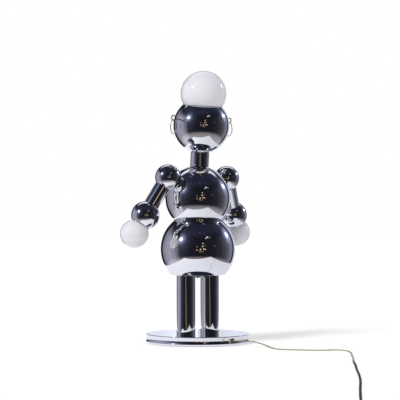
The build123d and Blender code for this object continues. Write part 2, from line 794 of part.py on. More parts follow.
# ---- Every piece under its own name ----
pieces = {
    "base_shell": base_shell.part,
    "base_weight": base_weight.part,
    "base_cover": base_cover.part,
    "base_felt": base_felt.part,
    "cord_bushing": cord_bushing.part,
    "leg_left": leg_left.part,
    "leg_right": leg_right.part,
    "leg_pipes": leg_pipes.part,
    "leg_check_rings": leg_check_rings.part,
    "pipe_nuts": pipe_nuts.part,
    "pipe_washers": pipe_washers.part,
    "hip_shell": hip_shell.part,
    "waist_pipe": waist_pipe.part,
    "chest_shell": chest_shell.part,
    "chest_strap": chest_strap.part,
    "neck_seat": neck_seat.part,
    "neck_pipe": neck_pipe.part,
    "neck_tube": neck_tube.part,
    "head_saddle": head_saddle.part,
    "saddle_springs": saddle_springs.part,
    "head_shell": head_shell.part,
    "socket_bridge": socket_bridge.part,
    "socket_nipple": socket_nipple.part,
    "head_socket": head_socket.part,
    "head_globe": head_globe.part,
    "head_globe_cap": head_globe_cap.part,
    "ear_nuts": ear_nuts.part,
    "ear_eye_left": eyes["left"].part,
    "ear_eye_right": eyes["right"].part,
    "ear_hoop_left": hoops["left"].part,
    "ear_hoop_right": hoops["right"].part,
    "cord": cord.part,
    "cord_coil": cord_coil.part,
    "plug_body": plug_body.part,
    "plug_blades": plug_blades.part,
}

# The right shoulder seat and arm are the left ones mirrored.
left_pieces = {
    "shoulder_seat": shoulder_seat_left,
    "shoulder_ball": shoulder_ball_left,
    "shoulder_pipe": shoulder_pipe_left,
    "shoulder_springs": shoulder_springs_left,
    "arm_tube": arm_tube_left,
    "arm_pipe": arm_pipe_left,
    "hand_ball": hand_ball_left,
    "hand_seat": hand_seat_left,
    "hand_socket": hand_socket_left,
    "hand_globe": hand_globe_left,
    "hand_globe_cap": hand_globe_cap_left,
}
for name, left in left_pieces.items():
    with BuildPart() as right:
        mirror(left.part, about=Plane.YZ)
    pieces[f"{name}_left"] = left.part
    pieces[f"{name}_right"] = right.part

for name, piece in pieces.items():
    piece.label = name
    export_step(piece, f"parts/{name}.step")
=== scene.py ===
import bmesh
import bpy
import json
import math
from mathutils import Matrix, Vector


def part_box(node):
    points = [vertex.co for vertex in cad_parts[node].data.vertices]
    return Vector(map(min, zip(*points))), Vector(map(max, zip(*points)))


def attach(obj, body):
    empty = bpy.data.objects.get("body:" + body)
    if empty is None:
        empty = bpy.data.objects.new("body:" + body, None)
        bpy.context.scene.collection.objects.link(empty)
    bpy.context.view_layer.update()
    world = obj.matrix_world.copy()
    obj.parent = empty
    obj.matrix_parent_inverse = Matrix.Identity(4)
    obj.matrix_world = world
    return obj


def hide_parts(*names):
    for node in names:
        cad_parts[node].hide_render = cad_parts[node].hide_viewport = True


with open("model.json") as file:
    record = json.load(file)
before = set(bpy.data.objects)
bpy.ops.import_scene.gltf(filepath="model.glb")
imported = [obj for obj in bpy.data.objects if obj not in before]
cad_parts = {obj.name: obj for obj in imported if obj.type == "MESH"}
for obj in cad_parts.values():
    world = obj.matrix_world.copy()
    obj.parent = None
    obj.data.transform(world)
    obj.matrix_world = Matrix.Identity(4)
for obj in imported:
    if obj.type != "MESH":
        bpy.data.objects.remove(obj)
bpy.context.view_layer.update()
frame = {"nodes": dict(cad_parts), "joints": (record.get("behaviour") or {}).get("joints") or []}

# ---- Camera ----
# A long lens four metres off, level with the lamp's middle. It stands behind the
# lamp's left shoulder, on the side where the cord leaves the base.
mm = 0.001
camera_distance = 4076 * mm
camera_height = 360.8 * mm
camera_turn = math.radians(139.0)  # of the lens about the upright
toward_camera = Vector((math.sin(camera_turn), -math.cos(camera_turn), 0))
camera_data = bpy.data.cameras.new("camera")
camera_data.lens = 134.67
camera_data.shift_x = 0.0052
camera_data.shift_y = 0.02475
camera = bpy.data.objects.new("camera", camera_data)
camera.location = toward_camera * camera_distance + Vector((0, 0, camera_height))
camera.rotation_euler = (math.radians(90), 0, camera_turn)
bpy.context.scene.collection.objects.link(camera)
bpy.context.scene.camera = camera

# ---- Cord ----
# Flat two-core lampholder cord, clear gold vinyl over two copper strands. It
# leaves the base's bushing, drops to the table and wanders off over it. The rest
# of its eight feet is wound into a ring, and its end goes into the plug.
cord_width = 5.4
cord_thickness = 2.7
lip_radius = 142.5  # of the base's wall, where the cord comes out
cord_hole_height = 14.6
cord_floor = cord_thickness / 2  # height of the lying cord's middle
cord_route = [
    (0, lip_radius - 4, cord_hole_height),
    (0, lip_radius + 15, cord_hole_height),
    (-12, 176, cord_hole_height),
    (-30, 188, 13.0),
    (-41, 205, 8.5),
    (-40, 232, 4.0),
    (-26, 264, cord_floor),
    (-14, 296, cord_floor),
    (-25, 326, cord_floor),
    (-46, 350, cord_floor),
    (-62, 378, cord_floor),
    (-84, 398, cord_floor),
    (-108, 401, cord_floor),
    (-121, 419, cord_floor),
    (-118, 446, cord_floor),
    (-95, 480, cord_floor),
    (-50, 524, cord_floor),
    (10, 586, cord_floor),
    (68, 640, cord_floor),
    (122, 698, cord_floor),
    (184, 758, cord_floor),
    (242, 818, cord_floor),
    (312, 888, cord_floor),
    (382, 954, cord_floor),
    (448, 1014, cord_floor),
    (510, 1072, cord_floor),
    (568, 1126, cord_floor),
    (614, 1172, cord_floor),
]

# The ring is wound clockwise: half its turns lie on the table, from the outside
# in, and half on top of them, from the inside out.
coil_low, coil_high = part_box("cord_coil")
coil_middle = (coil_low + coil_high) / (2 * mm)
coil_outside = (coil_high.x - coil_low.x - cord_width * mm) / (2 * mm)
coil_pitch = 5.5
coil_start = 150.0  # degrees round the ring
coil_turns = 5 + 11 / 360
coil_steps = 14  # points in each turn
climb_turns = 0.5  # the cord climbs onto its lower turns over this much of a turn
coil_route = []
for step in range(round(coil_turns * coil_steps) + 1):
    turn = step / coil_steps
    from_end = min(turn, coil_turns - turn)
    climb = min(max((turn - coil_turns / 2) / climb_turns + 0.5, 0), 1)
    distance = coil_outside - coil_pitch * from_end
    angle = math.radians(coil_start) - turn * math.tau
    place = Vector((math.cos(angle), math.sin(angle), 0)) * distance
    place.z = cord_floor * (1 + 2 * climb)
    coil_route.append((coil_middle.x + place.x, coil_middle.y + place.y, place.z))

# From the ring the cord swings over to the plug's middle and goes into its tail.
plug_corners = [corner.co / mm for corner in frame["nodes"]["plug_body"].data.vertices]
plug_axis = toward_camera
plug_along = [corner.dot(plug_axis) for corner in plug_corners]
plug_middle = (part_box("plug_body")[0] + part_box("plug_body")[1]) / (2 * mm)
plug_tail = plug_middle + plug_axis * (min(plug_along) - plug_middle.dot(plug_axis))
plug_side = Vector((plug_axis.y, -plug_axis.x, 0))
ring_end = Vector(coil_route[-1])
tail_route = []
for before_plug, swung in ((20, 0.35), (12, 0.8), (5, 1.0), (-3, 1.0)):
    there = plug_tail - plug_axis * before_plug
    aside = (ring_end - there).dot(plug_side)
    there += plug_side * aside * (1 - swung)
    there.z += (ring_end.z - plug_tail.z) * (1 - swung)
    tail_route.append(tuple(there))


def open_spline(name, route):
    """A smooth open line drawn by these points, which are in millimetres."""
    curve = bpy.data.curves.new(name, "CURVE")
    curve.dimensions = "3D"
    curve.twist_mode = "Z_UP"
    curve.resolution_u = 8
    spline = curve.splines.new("NURBS")
    spline.points.add(len(route) - 1)
    for point, place in zip(spline.points, route):
        point.co = (*(Vector(place) * mm), 1)
    spline.order_u = 3
    spline.use_endpoint_u = True
    return bpy.data.objects.new(name, curve)


def made_mesh(thing, *helpers):
    """The mesh that an object comes to with what it uses. The objects themselves are removed."""
    for each in (thing, *helpers):
        bpy.context.scene.collection.objects.link(each)
    made = thing.evaluated_get(bpy.context.evaluated_depsgraph_get())
    mesh = bpy.data.meshes.new_from_object(made)
    for each in (thing, *helpers):
        bpy.data.objects.remove(each)
    return mesh


def add_piece(name, mesh):
    """The mesh as a shown object, smooth but for its real edges."""
    mesh.name = name
    mesh.shade_smooth()
    mesh.set_sharp_from_angle(angle=math.radians(30))
    piece = bpy.data.objects.new(name, mesh)
    bpy.context.scene.collection.objects.link(piece)
    return piece


# Each core is a round half of the cord, with a shallow groove between them.
whole_route = cord_route + coil_route + tail_route
cord_path = [point.co.copy() for point in made_mesh(open_spline("cord_line", whole_route)).vertices]
cord_line = open_spline("cord_line", whole_route)
section_curve = bpy.data.curves.new("cord_section", "CURVE")
section_spline = section_curve.splines.new("POLY")
core_radius = cord_thickness / 2
core_offset = cord_width / 2 - core_radius
core_arc = 150  # degrees of each core that show, to each side of its outer edge
core_step = 30
section = []
for side in (1, -1):
    for degrees in range(-core_arc, core_arc + 1, core_step):
        turned = math.radians(degrees)
        across = core_offset + core_radius * math.cos(turned)
        section.append((side * across, side * core_radius * math.sin(turned)))
section_spline.points.add(len(section) - 1)
for point, (across, up) in zip(section_spline.points, section):
    point.co = (across * mm, up * mm, 0, 1)
section_spline.use_cyclic_u = True
cord_section = bpy.data.objects.new("cord_section", section_curve)
cord_line.data.bevel_mode = "OBJECT"
cord_line.data.bevel_object = cord_section
cord_line.data.use_fill_caps = True
lamp_cord = add_piece("lamp_cord", made_mesh(cord_line, cord_section))


def new_node(tree, kind, settings=None, inputs=None):
    """A shader node with these settings, and with these values or links on its inputs."""
    node = tree.nodes.new("ShaderNode" + kind)
    for name, value in (settings or {}).items():
        setattr(node, name, value)
    for name, value in (inputs or {}).items():
        if isinstance(value, bpy.types.NodeSocket):
            tree.links.new(value, node.inputs[name])
        else:
            node.inputs[name].default_value = value
    return node


def new_group(name, inputs, output, output_type):
    """An effect for several finishes, with these named numbers or colours, and one result."""
    group = bpy.data.node_groups.new(name, "ShaderNodeTree")
    for label, kind in inputs.items():
        group.interface.new_socket(name=label, in_out="INPUT", socket_type=kind)
    group.interface.new_socket(name=output, in_out="OUTPUT", socket_type=output_type)
    return group, group.nodes.new("NodeGroupInput"), group.nodes.new("NodeGroupOutput")


number = "NodeSocketFloat"
colour = "NodeSocketColor"

# Handling leaves a finish smoother in some places and duller in others.
handling_marks, given, result = new_group(
    "handling_marks", {"Scale": number, "Smooth": number, "Dull": number}, "Roughness", number
)
where = new_node(handling_marks, "TexCoord")
broad = new_node(
    handling_marks,
    "TexNoise",
    inputs={"Vector": where.outputs["Object"], "Scale": given.outputs["Scale"], "Detail": 5.0},
)
spread = new_node(
    handling_marks,
    "MapRange",
    {"interpolation_type": "SMOOTHSTEP"},
    {
        "Value": broad.outputs["Fac"],
        "From Min": 0.42,
        "From Max": 0.72,
        "To Min": given.outputs["Smooth"],
        "To Max": given.outputs["Dull"],
    },
)
handling_marks.links.new(spread.outputs["Result"], result.inputs["Roughness"])

# Colour that is a little uneven, as in moulded and cast things.
uneven_colour, given, result = new_group(
    "uneven_colour", {"Scale": number, "Light": colour, "Dark": colour}, "Color", colour
)
where = new_node(uneven_colour, "TexCoord")
clouds = new_node(
    uneven_colour,
    "TexNoise",
    inputs={"Vector": where.outputs["Object"], "Scale": given.outputs["Scale"], "Detail": 6.0},
)
spread = new_node(
    uneven_colour,
    "MapRange",
    inputs={"Value": clouds.outputs["Fac"], "From Min": 0.3, "From Max": 0.7},
)
blend = new_node(
    uneven_colour,
    "Mix",
    {"data_type": "RGBA"},
    {0: spread.outputs["Result"], 6: given.outputs["Light"], 7: given.outputs["Dark"]},
)
uneven_colour.links.new(blend.outputs[2], result.inputs["Color"])

# Shallow relief, from the grain of a casting to the waves of spun sheet.
fine_relief, given, result = new_group(
    "fine_relief",
    {"Scale": number, "Strength": number, "Depth": number},
    "Normal",
    "NodeSocketVector",
)
where = new_node(fine_relief, "TexCoord")
grain = new_node(
    fine_relief,
    "TexNoise",
    inputs={"Vector": where.outputs["Object"], "Scale": given.outputs["Scale"], "Detail": 3.0},
)
relief = new_node(
    fine_relief,
    "Bump",
    inputs={
        "Height": grain.outputs["Fac"],
        "Strength": given.outputs["Strength"],
        "Distance": given.outputs["Depth"],
    },
)
fine_relief.links.new(relief.outputs["Normal"], result.inputs["Normal"])


def new_finish(name, shader, light, dark, tone_scale, smooth, dull, marks_scale, relief):
    """A finish with uneven colour, handling marks and relief, and plain values on its shader.

    The relief's three numbers are its scale, its strength and its depth in metres."""
    finish = bpy.data.materials.new(name)
    finish.use_nodes = True
    tree = finish.node_tree
    surface = tree.nodes["Principled BSDF"]
    for label, value in shader.items():
        surface.inputs[label].default_value = value
    effects = {
        "Base Color": (uneven_colour, {"Scale": tone_scale, "Light": light, "Dark": dark}),
        "Roughness": (handling_marks, {"Scale": marks_scale, "Smooth": smooth, "Dull": dull}),
        "Normal": (fine_relief, dict(zip(("Scale", "Strength", "Depth"), relief))),
    }
    for label, (group, values) in effects.items():
        effect = new_node(tree, "Group", {"node_tree": group}, values)
        tree.links.new(effect.outputs[0], surface.inputs[label])
    return finish


gold_vinyl = new_finish(
    "gold_vinyl",
    {"Coat Roughness": 0.1, "Specular IOR Level": 0.0},
    (0.46, 0.39, 0.27, 1),
    (0.34, 0.27, 0.16, 1),
    tone_scale=160.0,
    smooth=0.18,
    dull=0.38,
    marks_scale=60.0,
    relief=(900.0, 0.15, 0.0001),
)


def fade(tree, amount, begin, end, start_value=0.0, end_value=1.0):
    """A smooth change from one value to another while an amount goes from begin to end."""
    node = new_node(
        tree,
        "MapRange",
        {"interpolation_type": "SMOOTHSTEP"},
        {
            "Value": amount,
            "From Min": begin,
            "From Max": end,
            "To Min": start_value,
            "To Max": end_value,
        },
    )
    return node.outputs["Result"]


# The vinyl is pale and glossy near the lamp. Farther out, between these distances in metres
# towards the camera, it is painted dark brown and less glossy, as painted shade.
shade_begins = 0.49
shade_ends = 0.56
painted_shade_brown = (0.060, 0.042, 0.016, 1)
vinyl = gold_vinyl.node_tree
along_cord = new_node(
    vinyl,
    "VectorMath",
    {"operation": "DOT_PRODUCT"},
    {0: new_node(vinyl, "TexCoord").outputs["Object"], 1: toward_camera},
)
vinyl_surface = vinyl.nodes["Principled BSDF"]
vinyl_colour = vinyl_surface.inputs["Base Color"].links[0].from_socket
# Painted shade: farther out the colour is mixed to dark brown and the coat is thinned.
shade_amount = fade(vinyl, along_cord.outputs["Value"], shade_begins, shade_ends)
shaded_vinyl = new_node(
    vinyl, "Mix", {"data_type": "RGBA"}, {0: shade_amount, 6: vinyl_colour, 7: painted_shade_brown}
)
vinyl.links.new(shaded_vinyl.outputs[2], vinyl_surface.inputs["Base Color"])
gloss = fade(vinyl, along_cord.outputs["Value"], shade_begins, shade_ends, 0.4, 0.08)
vinyl.links.new(gloss, vinyl_surface.inputs["Coat Weight"])
lamp_cord.data.materials.append(gold_vinyl)
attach(lamp_cord, "stand")
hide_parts("cord", "cord_coil")

# ---- Plug and bushing ----
# A moulded two-pin plug in brown-gold plastic with brass blades, and the black
# nylon bushing that keeps the cord off the edge of its hole in the base.
moulded_plug = new_finish(
    "moulded_plug",
    {"Coat Weight": 0.2, "Coat Roughness": 0.2},
    (0.50, 0.38, 0.17, 1),
    (0.40, 0.29, 0.12, 1),
    tone_scale=90.0,
    smooth=0.30,
    dull=0.50,
    marks_scale=120.0,
    relief=(1800.0, 0.3, 0.0002),
)
brass = new_finish(
    "brass",
    {"Metallic": 1.0},
    (0.84, 0.66, 0.34, 1),
    (0.70, 0.50, 0.22, 1),
    tone_scale=120.0,
    smooth=0.16,
    dull=0.38,
    marks_scale=180.0,
    relief=(700.0, 0.15, 0.0001),
)
black_nylon = new_finish(
    "black_nylon",
    {},
    (0.030, 0.030, 0.032, 1),
    (0.018, 0.018, 0.020, 1),
    tone_scale=200.0,
    smooth=0.32,
    dull=0.50,
    marks_scale=300.0,
    relief=(2500.0, 0.2, 0.0001),
)


def refinish(finish, *names):
    """These pieces of the frame keep their shape and get this finish."""
    for name in names:
        for material_slot in frame["nodes"][name].material_slots:
            material_slot.material = finish


refinish(moulded_plug, "plug_body")
refinish(brass, "plug_blades")
refinish(black_nylon, "cord_bushing")

# ---- Base ----
# A round pan spun from sheet steel and turned over: a flat top with a soft edge,
# an upright wall that sweeps out to the lip it stands on, and chrome all over.
base_top = 25.4
base_wall = 1.5
wall_radius = 141.0
base_edge = 1.5
sweep_top = 15.0
sweep_radius = 27.75
sweep_angle = 18.93
lip_edge = 1.2
foot_gap = 0.8
flat_margin = 0.4  # of flat metal kept beside each rounded edge
pipe_hole = 4.9
cord_hole = 4.0
cord_hole_start = Vector((0, 130, cord_hole_height)) * mm
leg_places = [Vector((42.8, 0, 0)) * mm, Vector((-42.8, 0, 0)) * mm]
upward = Vector((0, 0, 1))


def arc(middle, radius, first, last, steps):
    """Points of a round stretch of an outline, from one angle to the other in degrees."""
    points = []
    for step in range(steps + 1):
        angle = math.radians(first + (last - first) * step / steps)
        points.append((middle[0] + radius * math.cos(angle), middle[1] + radius * math.sin(angle)))
    return points


def spun(outline, foot, along, turns=160):
    """A bmesh of an outline of (radius, height) points in millimetres, spun about a line.

    An outline that starts on the line also ends on it, and any other is closed."""
    form = bmesh.new()
    corners = [form.verts.new((radius * mm, 0, height * mm)) for radius, height in outline]
    sides = [form.edges.new(pair) for pair in zip(corners, corners[1:])]
    if outline[0][0] > mm:
        sides.append(form.edges.new((corners[-1], corners[0])))
    bmesh.ops.spin(
        form,
        geom=corners + sides,
        cent=(0, 0, 0),
        axis=(0, 0, 1),
        angle=math.tau,
        steps=turns,
        use_merge=True,
    )
    bmesh.ops.remove_doubles(form, verts=form.verts, dist=mm * mm)
    bmesh.ops.recalc_face_normals(form, faces=form.faces)
    place = Matrix.Translation(foot) @ along.to_track_quat("Z", "Y").to_matrix().to_4x4()
    bmesh.ops.transform(form, matrix=place, verts=form.verts)
    return form


def as_mesh(form):
    """The finished bmesh as a mesh."""
    mesh = bpy.data.meshes.new("form")
    form.to_mesh(mesh)
    form.free()
    return mesh


def drill_bit(bits, start, along, radius, depth):
    """Adds the space of a round hole to a bmesh, from its start and with sizes in millimetres."""
    middle = Matrix.Translation(start + along * depth / 2 * mm)
    bmesh.ops.create_cone(
        bits,
        cap_ends=True,
        segments=48,
        radius1=radius * mm,
        radius2=radius * mm,
        depth=depth * mm,
        matrix=middle @ along.to_track_quat("Z", "Y").to_matrix().to_4x4(),
    )


def cut_out(form, bits):
    """The mesh of a bmesh less the closed spaces in another."""
    blank = bpy.data.objects.new("blank", as_mesh(form))
    tool = bpy.data.objects.new("tool", as_mesh(bits))
    cutting = blank.modifiers.new("cutting", "BOOLEAN")
    cutting.operation = "DIFFERENCE"
    cutting.solver = "EXACT"
    cutting.object = tool
    return made_mesh(blank, tool)


chrome = new_finish(
    "chrome",
    {"Metallic": 1.0},
    (0.87, 0.88, 0.90, 1),
    (0.82, 0.83, 0.86, 1),
    tone_scale=9.0,
    smooth=0.015,
    dull=0.06,
    marks_scale=14.0,
    relief=(26.0, 0.03, 0.0004),
)


def set_piece(piece, finish, slot, body, *nodes):
    """Gives a new piece its finish and puts it on its body, in the place of these nodes."""
    piece.data.materials.clear()
    piece.data.materials.append(finish)
    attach(piece, body)
    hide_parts(*nodes)


base_outline = [(0, base_top), (wall_radius - base_edge - flat_margin, base_top)]
base_outline += arc((wall_radius - base_edge, base_top - base_edge), base_edge, 90, 0, 8)
base_outline += [(wall_radius, base_top - base_edge - flat_margin)]
base_outline += [(wall_radius, sweep_top + flat_margin)]
sweep_centre = (wall_radius + sweep_radius, sweep_top)
base_outline += arc(sweep_centre, sweep_radius, 180, 180 + sweep_angle, 10)
sweep_bottom = sweep_top - sweep_radius * math.sin(math.radians(sweep_angle))
base_outline += [(lip_radius, sweep_bottom - flat_margin)]
base_outline += [(lip_radius, foot_gap + lip_edge + flat_margin)]
base_outline += arc((lip_radius - lip_edge, foot_gap + lip_edge), lip_edge, 0, -90, 6)
base_outline += [
    (wall_radius - base_wall, foot_gap),
    (wall_radius - base_wall, base_top - base_wall),
    (0, base_top - base_wall),
]
base_holes = bmesh.new()
for place in leg_places:
    drill_bit(base_holes, place + upward * base_top / 2 * mm, upward, pipe_hole, base_top)
drill_bit(base_holes, cord_hole_start, Vector((0, 1, 0)), cord_hole, depth=20)
base_form = spun(base_outline, Vector((0, 0, 0)), upward, turns=256)
base_pan = add_piece("base_pan", cut_out(base_form, base_holes))
set_piece(base_pan, chrome, "chrome", "stand", "base_shell")

# ---- Legs ----
# Two straight lengths of chromed steel tube, square cut and with the burr taken
# off. A threaded pipe inside each holds it between the base and the hip.
tube_edge = 0.3


def tube_outline(radius, wall, start, length):
    """The closed outline of a tube with broken outer edges."""
    return [
        (radius - wall, start),
        (radius - tube_edge, start),
        (radius, start + tube_edge),
        (radius, start + length - tube_edge),
        (radius - tube_edge, start + length),
        (radius - wall, start + length),
    ]


leg_radius = 25.4
leg_length = 158.7
tube_wall = 1.5
leg_outline = tube_outline(leg_radius, tube_wall, base_top, leg_length)
for side, place in zip(("left", "right"), leg_places):
    leg = add_piece(f"leg_tube_{side}", as_mesh(spun(leg_outline, place, upward)))
    set_piece(leg, chrome, "chrome", "stand", f"leg_{side}")

# ---- Hip ----
# The largest ball, spun from sheet steel with a flat underneath where the legs
# stand, and cut open at the waist, where the chest sits down into it.
ball_wall = 1.0
hip_radius = 101.6
hip_bottom = base_top + leg_length
hip_flat = 73.3
hip_edge = 2.5
hip_middle = hip_bottom + math.sqrt(hip_radius**2 - hip_flat**2)
waist_radius = 65.1
edge_height = hip_bottom + hip_edge
edge_centre = math.sqrt((hip_radius - hip_edge) ** 2 - (hip_middle - edge_height) ** 2)
edge_angle = -math.degrees(math.acos(edge_centre / (hip_radius - hip_edge)))
waist_angle = math.degrees(math.acos(waist_radius / hip_radius))
inner_waist = math.degrees(math.acos((waist_radius - ball_wall / 2) / (hip_radius - ball_wall)))
inner_radius = hip_radius - ball_wall
inner_flat = -math.degrees(math.asin((hip_middle - hip_bottom - ball_wall) / inner_radius))
hip_outline = [(0, hip_bottom)]
hip_outline += arc((edge_centre, edge_height), hip_edge, -90, edge_angle, 8)
hip_outline += arc((0, hip_middle), hip_radius, edge_angle, waist_angle, 64)[1:]
hip_outline += arc((0, hip_middle), inner_radius, inner_waist, inner_flat, 40)
hip_outline += [(0, hip_bottom + ball_wall)]
drill_reach = 5.0  # of a hole below and above the hip's flat
hip_holes = bmesh.new()
for place in leg_places + [Vector((0, 0, 0))]:
    under_hip = place + upward * (hip_bottom - drill_reach) * mm
    drill_bit(hip_holes, under_hip, upward, pipe_hole, depth=2 * drill_reach)
hip_form = spun(hip_outline, Vector((0, 0, 0)), upward, turns=192)
hip_ball = add_piece("hip_ball", cut_out(hip_form, hip_holes))
set_piece(hip_ball, chrome, "chrome", "stand", "hip_shell")

# ---- Chest ----
# A spun ball that sits in the hip's opening, open underneath, with a hole each
# side for the shoulders and one on top for the neck's pipe.
joints = {joint["name"]: joint for joint in frame["joints"]}
chest_radius = 88.9
chest_opening = 60.0
shoulder_hole = 15.0
waist_height = hip_middle + math.sqrt(hip_radius**2 - waist_radius**2)
chest_middle = upward * (waist_height + math.sqrt(chest_radius**2 - waist_radius**2)) * mm
chest_rim = -math.degrees(math.acos(chest_opening / chest_radius))
chest_cut = chest_radius * math.sin(math.radians(chest_rim))
inner_rim = math.degrees(math.asin(chest_cut / (chest_radius - ball_wall)))
chest_outline = arc((0, 0), chest_radius, 90, chest_rim, 80)
chest_outline += arc((0, 0), chest_radius - ball_wall, inner_rim, 90, 60)
head_middle = Vector(joints["head_turn"]["pos_m"])
neck_up = (head_middle - chest_middle).normalized()
chest_holes = bmesh.new()
drill_bit(chest_holes, chest_middle, neck_up, pipe_hole, 2 * chest_radius)
for side in ("left", "right"):
    shoulder = Vector(joints[f"{side}_shoulder_swing"]["pos_m"])
    shoulder_way = (shoulder - chest_middle).normalized()
    drill_bit(chest_holes, chest_middle, shoulder_way, shoulder_hole, 2 * chest_radius)
chest_form = spun(chest_outline, chest_middle, upward, turns=192)
chest_ball = add_piece("chest_ball", cut_out(chest_form, chest_holes))
set_piece(chest_ball, chrome, "chrome", "stand", "chest_shell")

# ---- Neck ----
# A short tube that leans back a little, pulled down on the chest by the pipe
# inside it. The head turns on its upper end.
neck_radius = 25.4
neck_length = 39.2
neck_start = math.sqrt(chest_radius**2 - (neck_radius - tube_wall) ** 2)
neck_outline = tube_outline(neck_radius, tube_wall, neck_start, neck_length)
neck_sleeve = add_piece("neck_sleeve", as_mesh(spun(neck_outline, chest_middle, neck_up)))
set_piece(neck_sleeve, chrome, "chrome", "stand", "neck_tube")

# ---- Head ----
# A spun ball with a beaded round mouth for the lamp. The slot underneath lets it
# tilt on the key of its saddle, and a small hole each side takes the ear's shank.
head_radius = 76.2
mouth_radius = 54.8
bead = 0.8
slot_size = Vector((14.3, 28.5, 20.0)) * mm
shank_hole = 1.5
ring_radius = 7.1  # of the screw eyes in the ears
head_up = Vector(joints["head_lamp_screw"]["axis"])


def cup_outline(radius, opening, first):
    """The closed outline of a thin ball, from an angle below up to its beaded mouth."""
    rim_height = math.sqrt(radius**2 - opening**2)
    rim = math.degrees(math.asin(rim_height / radius))
    bead_share = math.degrees(bead / radius)  # angle of the ball that the bead takes up
    outline = arc((0, 0), radius, first, rim - bead_share / 2, 80)
    outline += arc((opening - ball_wall / 2, rim_height), bead, rim - 60, rim + 180, 14)
    outline += arc((0, 0), radius - ball_wall, rim - bead_share, first, 60)
    return outline


head_outline = cup_outline(head_radius, mouth_radius, -90)
head_form = spun(head_outline, head_middle, head_up, turns=192)
head_holes = bmesh.new()
slot_place = Matrix.Translation(head_middle - head_up * head_radius * mm)
slot_place = slot_place @ Matrix.Rotation(-math.asin(head_up.y), 4, "X")
slot_form = Matrix.Diagonal((*slot_size, 1))
bmesh.ops.create_cube(head_holes, size=1, matrix=slot_place @ slot_form)
ring_middles = {}
for side in ("left", "right"):
    hoop_rest = Vector(joints[f"{side}_hoop_swing"]["pos_m"])
    ring_middles[side] = hoop_rest + head_up * ring_radius * mm
    ear_out = (ring_middles[side] - head_middle).normalized()
    drill_bit(head_holes, head_middle, ear_out, shank_hole, 2 * head_radius)
head_ball = add_piece("head_ball", cut_out(head_form, head_holes))
set_piece(head_ball, chrome, "chrome", "head", "head_shell")

# ---- Head lamp ----
# A large opal globe lamp, blown white glass with a smooth skin, cemented into a
# brass screw cap with rolled threads.
opal_glass = new_finish(
    "opal_glass",
    {"Coat Weight": 1.0, "Coat Roughness": 0.12, "IOR": 1.5},
    (0.93, 0.93, 0.97, 1),
    (0.89, 0.89, 0.94, 1),
    tone_scale=8.0,
    smooth=0.25,
    dull=0.35,
    marks_scale=30.0,
    relief=(40.0, 0.03, 0.0004),
)
globe_wall = 0.8
globe_neck = 14.5
button_radius = 4.5
button_height = 1.2
cone_radius = 12.4  # where the cap's cone meets its thread
cone_height = 5.0
thread_start = 5.4
thread_length = 18.0
thread_pitch = 3.6
thread_radius = 12.8
thread_depth = 0.3
thread_steps = 30
collar_radius = 13.1
collar_height = 1.2
cap_length = 25.0


def globe_outline(radius, reach, blend, neck_end):
    """The closed outline of a globe's glass: the ball, the hollow blend and the neck."""
    outline = []
    for inset, reverse in ((0, False), (globe_wall, True)):
        ball = radius - inset
        hollow = blend + inset
        centre = globe_neck + blend
        height = reach - math.sqrt((radius + blend) ** 2 - centre**2)
        turn = math.degrees(math.acos(centre / (radius + blend)))
        wall = arc((0, reach), ball, 90, -turn, 72)
        wall += arc((centre, height), hollow, 180 - turn, 180, 16)
        wall += [(globe_neck - inset, neck_end)]
        outline += wall[::-1] if reverse else wall
    return outline


def cap_outline(tip):
    """The outline of a screw cap, from its contact button up to the collar round the glass."""
    outline = [
        (0, tip),
        (button_radius, tip),
        (button_radius, tip + button_height),
        (cone_radius, tip + cone_height),
    ]
    for step in range(thread_steps + 1):
        height = thread_length * step / thread_steps
        ridge = thread_radius + thread_depth * math.sin(height / thread_pitch * math.tau)
        outline.append((ridge, tip + thread_start + height))
    cap_end = tip + cap_length
    outline += [
        (collar_radius, cap_end - collar_height),
        (globe_neck, cap_end - collar_height),
        (globe_neck, cap_end),
        (0, cap_end),
    ]
    return outline


def set_lamp(name, radius, reach, blend, tip, middle, along, body, glass_node, cap_node):
    """A globe lamp whose cap's tip and globe are these distances along a line from a ball."""
    glass = spun(globe_outline(radius, reach, blend, tip + cap_length), middle, along)
    globe = add_piece(f"{name}_glass", as_mesh(glass))
    set_piece(globe, opal_glass, "opal_glass", body, glass_node)
    cap = add_piece(f"{name}_cap", as_mesh(spun(cap_outline(tip), middle, along, turns=96)))
    set_piece(cap, brass, "brass", body, cap_node)


set_lamp(
    "crown_lamp",
    radius=62.3,
    reach=86.5,
    blend=30.0,
    tip=-27.2,
    middle=head_middle,
    along=head_up,
    body="head_lamp",
    glass_node="head_globe",
    cap_node="head_globe_cap",
)

# ---- Ears ----
# Screw eyes of darkened steel wire stand out from the head, each nutted inside,
# and a hoop of bright wire hangs in each like an earring.
dark_wire = new_finish(
    "dark_wire",
    {"Metallic": 1.0},
    (0.26, 0.25, 0.25, 1),
    (0.14, 0.14, 0.15, 1),
    tone_scale=200.0,
    smooth=0.18,
    dull=0.40,
    marks_scale=260.0,
    relief=(900.0, 0.2, 0.0001),
)
pale_wire = new_finish(
    "pale_wire",
    {"Metallic": 1.0},
    (0.82, 0.80, 0.76, 1),
    (0.70, 0.67, 0.60, 1),
    tone_scale=160.0,
    smooth=0.15,
    dull=0.35,
    marks_scale=200.0,
    relief=(700.0, 0.15, 0.0001),
)
eye_wire = 1.4
shank_points = (32.3, 24.0, 16.0, 11.0)  # distances from the ring's middle
ring_start = 196  # degrees from the way out of the head, where the shank joins
ring_step = 15
ring_points = 23
hoop_wire = 1.1
hoop_radius = 18.9
hoop_gap = 0.3
hoop_drop = hoop_radius - eye_wire - hoop_wire - hoop_gap
hoop_outline = arc((hoop_radius, 0), hoop_wire, 0, 345, 23)
